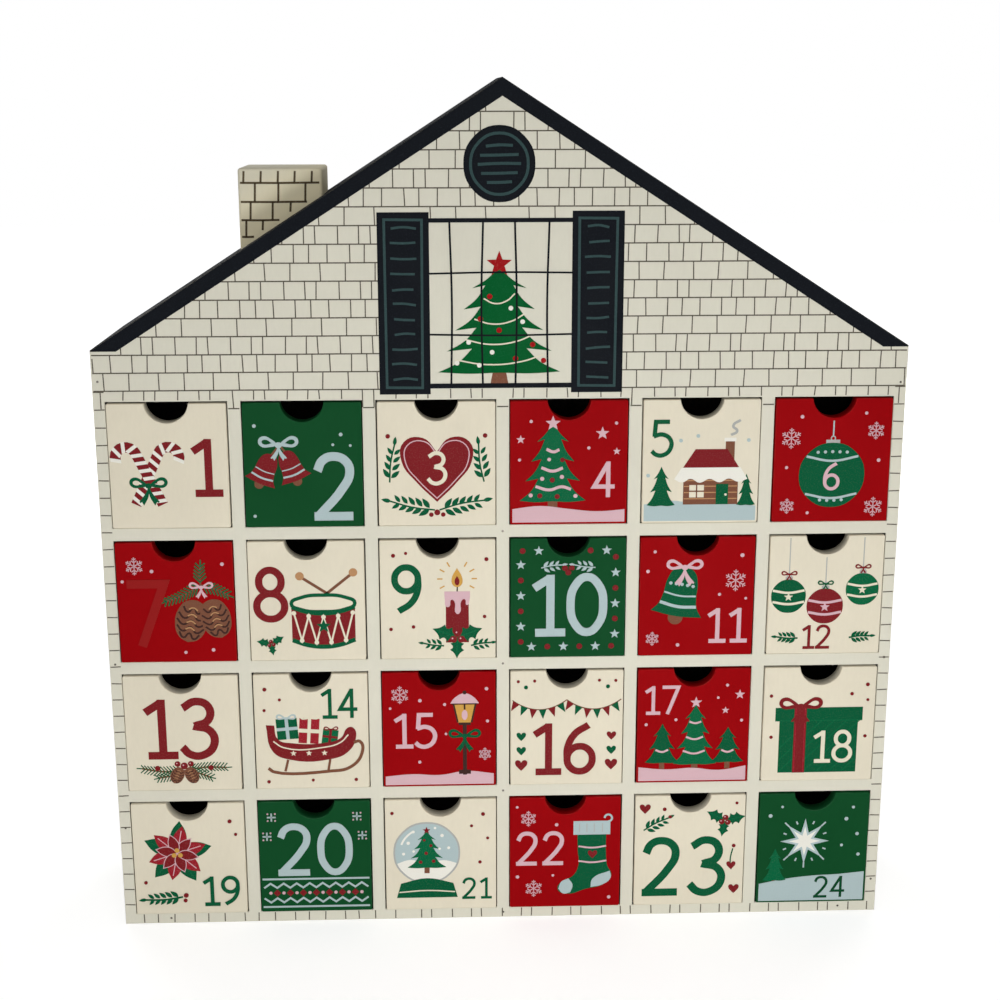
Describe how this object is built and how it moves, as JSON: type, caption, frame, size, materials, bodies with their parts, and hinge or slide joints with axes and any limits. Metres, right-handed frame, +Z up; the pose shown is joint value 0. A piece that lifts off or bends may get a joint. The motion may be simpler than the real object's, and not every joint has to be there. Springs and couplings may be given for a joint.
{
  "type": "wooden advent calendar",
  "caption": "House-shaped wooden advent calendar: numbered drawers with finger notches slide out of a nailed, painted box under a gable roof with a chimney.",
  "frame": {"origin": "middle of the house's footprint, on the surface that it stands on", "axes": "+Z up to the ridge; -Y out of the face with the drawers; +X to the right as seen from the front"},
  "size_m": [0.35, 0.076, 0.38],
  "materials": {
    "house_print": "satin cream paint with printed shingles, window, shutters, vent and gable band",
    "board_paint": "satin cream paint",
    "roof_paint": "satin blue-black paint",
    "chimney_print": "satin cream paint with printed bricks on its front",
    "drawer_cream": "satin print: a numeral and a seasonal motif on cream",
    "drawer_red": "satin print: a numeral and a seasonal motif on red",
    "drawer_green": "satin print: a numeral and a seasonal motif on green",
    "dark_stain": "matte near-black stain",
    "brad_steel": "dull steel"
  },
  "bodies": {
    "house": {"face_panel": "house_print", "back_panel": "board_paint", "left_side": "board_paint", "right_side": "board_paint", "floor_board": "board_paint", "roof_left": "roof_paint", "roof_right": "roof_paint", "uprights": "dark_stain", "shelves": "dark_stain", "chimney": "chimney_print", "front_brads": "brad_steel", "back_brads": "brad_steel"},
    "drawer_01": {"drawer_01_front": "drawer_cream", "drawer_01_box": "dark_stain"},
    "drawer_02": {"drawer_02_front": "drawer_green", "drawer_02_box": "dark_stain"},
    "drawer_03": {"drawer_03_front": "drawer_cream", "drawer_03_box": "dark_stain"},
    "drawer_04": {"drawer_04_front": "drawer_red", "drawer_04_box": "dark_stain"},
    "drawer_05": {"drawer_05_front": "drawer_cream", "drawer_05_box": "dark_stain"},
    "drawer_06": {"drawer_06_front": "drawer_red", "drawer_06_box": "dark_stain"},
    "drawer_07": {"drawer_07_front": "drawer_red", "drawer_07_box": "dark_stain"},
    "drawer_08": {"drawer_08_front": "drawer_cream", "drawer_08_box": "dark_stain"},
    "drawer_09": {"drawer_09_front": "drawer_cream", "drawer_09_box": "dark_stain"},
    "drawer_10": {"drawer_10_front": "drawer_green", "drawer_10_box": "dark_stain"},
    "drawer_11": {"drawer_11_front": "drawer_red", "drawer_11_box": "dark_stain"},
    "drawer_12": {"drawer_12_front": "drawer_cream", "drawer_12_box": "dark_stain"},
    "drawer_13": {"drawer_13_front": "drawer_cream", "drawer_13_box": "dark_stain"},
    "drawer_14": {"drawer_14_front": "drawer_cream", "drawer_14_box": "dark_stain"},
    "drawer_15": {"drawer_15_front": "drawer_red", "drawer_15_box": "dark_stain"},
    "drawer_16": {"drawer_16_front": "drawer_cream", "drawer_16_box": "dark_stain"},
    "drawer_17": {"drawer_17_front": "drawer_red", "drawer_17_box": "dark_stain"},
    "drawer_18": {"drawer_18_front": "drawer_cream", "drawer_18_box": "dark_stain"},
    "drawer_19": {"drawer_19_front": "drawer_cream", "drawer_19_box": "dark_stain"},
    "drawer_20": {"drawer_20_front": "drawer_green", "drawer_20_box": "dark_stain"},
    "drawer_21": {"drawer_21_front": "drawer_cream", "drawer_21_box": "dark_stain"},
    "drawer_22": {"drawer_22_front": "drawer_red", "drawer_22_box": "dark_stain"},
    "drawer_23": {"drawer_23_front": "drawer_cream", "drawer_23_box": "dark_stain"},
    "drawer_24": {"drawer_24_front": "drawer_green", "drawer_24_box": "dark_stain"}
  },
  "joints": [
    {"name": "drawer_01_slide", "type": "slide", "parent": "house", "child": "drawer_01", "axis": [0, -1, 0], "range_m": [0, 0.064]},
    {"name": "drawer_02_slide", "type": "slide", "parent": "house", "child": "drawer_02", "axis": [0, -1, 0], "range_m": [0, 0.064]},
    {"name": "drawer_03_slide", "type": "slide", "parent": "house", "child": "drawer_03", "axis": [0, -1, 0], "range_m": [0, 0.064]},
    {"name": "drawer_04_slide", "type": "slide", "parent": "house", "child": "drawer_04", "axis": [0, -1, 0], "range_m": [0, 0.064]},
    {"name": "drawer_05_slide", "type": "slide", "parent": "house", "child": "drawer_05", "axis": [0, -1, 0], "range_m": [0, 0.064]},
    {"name": "drawer_06_slide", "type": "slide", "parent": "house", "child": "drawer_06", "axis": [0, -1, 0], "range_m": [0, 0.064]},
    {"name": "drawer_07_slide", "type": "slide", "parent": "house", "child": "drawer_07", "axis": [0, -1, 0], "range_m": [0, 0.064]},
    {"name": "drawer_08_slide", "type": "slide", "parent": "house", "child": "drawer_08", "axis": [0, -1, 0], "range_m": [0, 0.064]},
    {"name": "drawer_09_slide", "type": "slide", "parent": "house", "child": "drawer_09", "axis": [0, -1, 0], "range_m": [0, 0.064]},
    {"name": "drawer_10_slide", "type": "slide", "parent": "house", "child": "drawer_10", "axis": [0, -1, 0], "range_m": [0, 0.064]},
    {"name": "drawer_11_slide", "type": "slide", "parent": "house", "child": "drawer_11", "axis": [0, -1, 0], "range_m": [0, 0.064]},
    {"name": "drawer_12_slide", "type": "slide", "parent": "house", "child": "drawer_12", "axis": [0, -1, 0], "range_m": [0, 0.064]},
    {"name": "drawer_13_slide", "type": "slide", "parent": "house", "child": "drawer_13", "axis": [0, -1, 0], "range_m": [0, 0.064]},
    {"name": "drawer_14_slide", "type": "slide", "parent": "house", "child": "drawer_14", "axis": [0, -1, 0], "range_m": [0, 0.064]},
    {"name": "drawer_15_slide", "type": "slide", "parent": "house", "child": "drawer_15", "axis": [0, -1, 0], "range_m": [0, 0.064]},
    {"name": "drawer_16_slide", "type": "slide", "parent": "house", "child": "drawer_16", "axis": [0, -1, 0], "range_m": [0, 0.064]},
    {"name": "drawer_17_slide", "type": "slide", "parent": "house", "child": "drawer_17", "axis": [0, -1, 0], "range_m": [0, 0.064]},
    {"name": "drawer_18_slide", "type": "slide", "parent": "house", "child": "drawer_18", "axis": [0, -1, 0], "range_m": [0, 0.064]},
    {"name": "drawer_19_slide", "type": "slide", "parent": "house", "child": "drawer_19", "axis": [0, -1, 0], "range_m": [0, 0.064]},
    {"name": "drawer_20_slide", "type": "slide", "parent": "house", "child": "drawer_20", "axis": [0, -1, 0], "range_m": [0, 0.064]},
    {"name": "drawer_21_slide", "type": "slide", "parent": "house", "child": "drawer_21", "axis": [0, -1, 0], "range_m": [0, 0.064]},
    {"name": "drawer_22_slide", "type": "slide", "parent": "house", "child": "drawer_22", "axis": [0, -1, 0], "range_m": [0, 0.064]},
    {"name": "drawer_23_slide", "type": "slide", "parent": "house", "child": "drawer_23", "axis": [0, -1, 0], "range_m": [0, 0.064]},
    {"name": "drawer_24_slide", "type": "slide", "parent": "house", "child": "drawer_24", "axis": [0, -1, 0], "range_m": [0, 0.064]}
  ]
}
